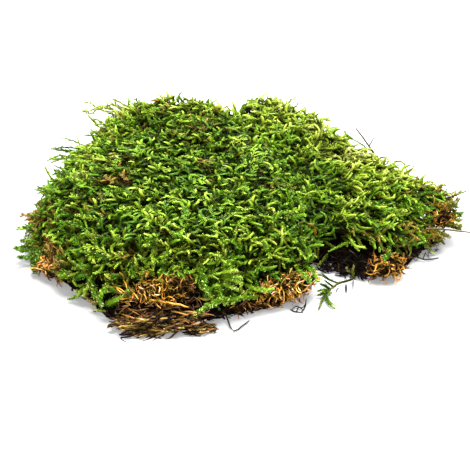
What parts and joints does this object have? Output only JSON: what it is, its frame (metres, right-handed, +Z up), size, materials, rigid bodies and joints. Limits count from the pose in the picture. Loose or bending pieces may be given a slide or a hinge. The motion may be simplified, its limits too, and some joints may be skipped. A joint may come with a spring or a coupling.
{
  "type": "sheet moss",
  "caption": "Torn piece of green sheet moss lying flat: a thick mat of leafy shoots in two lobes over brown litter, with dead stems, bark flakes and stray twigs at the rim.",
  "frame": {"origin": "on the surface the moss lies on, under the middle of its outline", "axes": "+X towards the pointed lobe at the right, +Y away from the front edge, +Z up from the underside"},
  "size_m": [0.3274, 0.2736, 0.051],
  "materials": {
    "living_moss": "matte, yellow-green tips over dark green",
    "leaf_litter": "matte, dark brown",
    "dead_stems": "matte, golden to rust brown",
    "rotten_bark": "matte, rotten and fibrous",
    "dry_stem": "matte, dry"
  },
  "bodies": {
    "root": {"moss_sheet": "living_moss", "litter_mat": "leaf_litter", "dead_tuft_left": "dead_stems", "dead_tuft_front": "dead_stems", "dead_tuft_middle": "dead_stems", "dead_tuft_foot": "dead_stems", "dead_tuft_tip": "dead_stems", "bark_flake_1": "rotten_bark", "bark_flake_2": "rotten_bark", "bark_flake_3": "rotten_bark", "bark_flake_4": "rotten_bark", "bark_flake_5": "rotten_bark", "straw_right": "dry_stem", "stem_back": "dry_stem", "rootlet_front": "dry_stem", "twig_right": "dry_stem", "stray_frond": "living_moss"}
  },
  "joints": []
}
